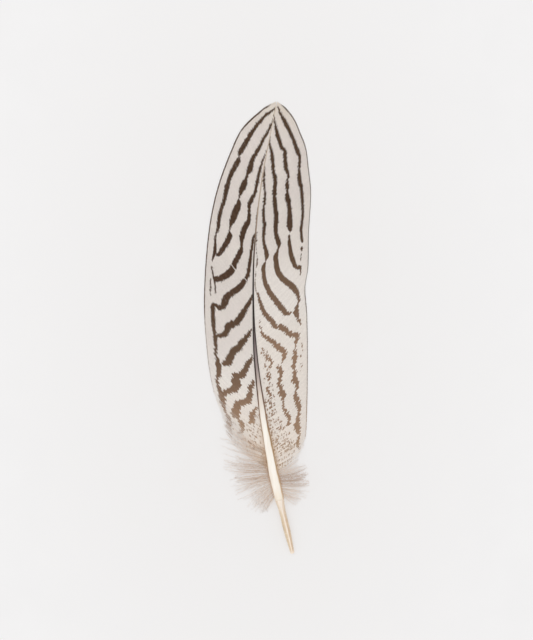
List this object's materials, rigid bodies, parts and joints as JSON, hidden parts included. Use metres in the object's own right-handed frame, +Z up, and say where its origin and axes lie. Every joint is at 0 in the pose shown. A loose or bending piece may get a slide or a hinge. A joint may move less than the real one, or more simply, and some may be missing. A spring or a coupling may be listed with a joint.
{
  "type": "quill pen feather",
  "caption": "Striped flight feather used as a quill: a bare hollow quill, a tapering shaft, two barbed vanes and downy tufts, lying flat.",
  "frame": {"origin": "on the resting surface, under the middle of the feather's outline", "axes": "+Y from the bare quill's end to the tip of the vane, +X to the right seen from above, +Z up from the resting surface"},
  "size_m": [0.0428, 0.1801, 0.0059],
  "materials": {
    "quill_horn": "smooth translucent horn",
    "dried_pulp": "dry papery skin",
    "shaft_rind": "satin horn, dark brown above and cream below",
    "shaft_pith": "fine closed foam",
    "vane": "silky barbs, off-white with brown stripes",
    "down": "soft grey-beige fluff"
  },
  "bodies": {
    "root": {"calamus": "quill_horn", "pulp_caps": "dried_pulp", "superior_umbilicus": "dried_pulp", "rachis_rind": "shaft_rind", "rachis_pith": "shaft_pith", "left_barbs_1": "vane", "left_barbs_2": "vane", "left_barbs_3": "vane", "left_barbs_4": "vane", "left_barbs_5": "vane", "left_barbs_6": "vane", "left_barbs_7": "vane", "left_barbs_8": "vane", "left_barbs_9": "vane", "left_barbs_10": "vane", "right_barbs_1": "vane", "right_barbs_2": "vane", "right_barbs_3": "vane", "right_barbs_4": "vane", "right_barbs_5": "vane", "right_barbs_6": "vane", "right_barbs_7": "vane", "right_barbs_8": "vane", "right_barbs_9": "vane", "right_barbs_10": "vane", "left_down_1": "down", "left_down_2": "down", "left_down_3": "down", "right_down_1": "down", "right_down_2": "down"}
  },
  "joints": []
}
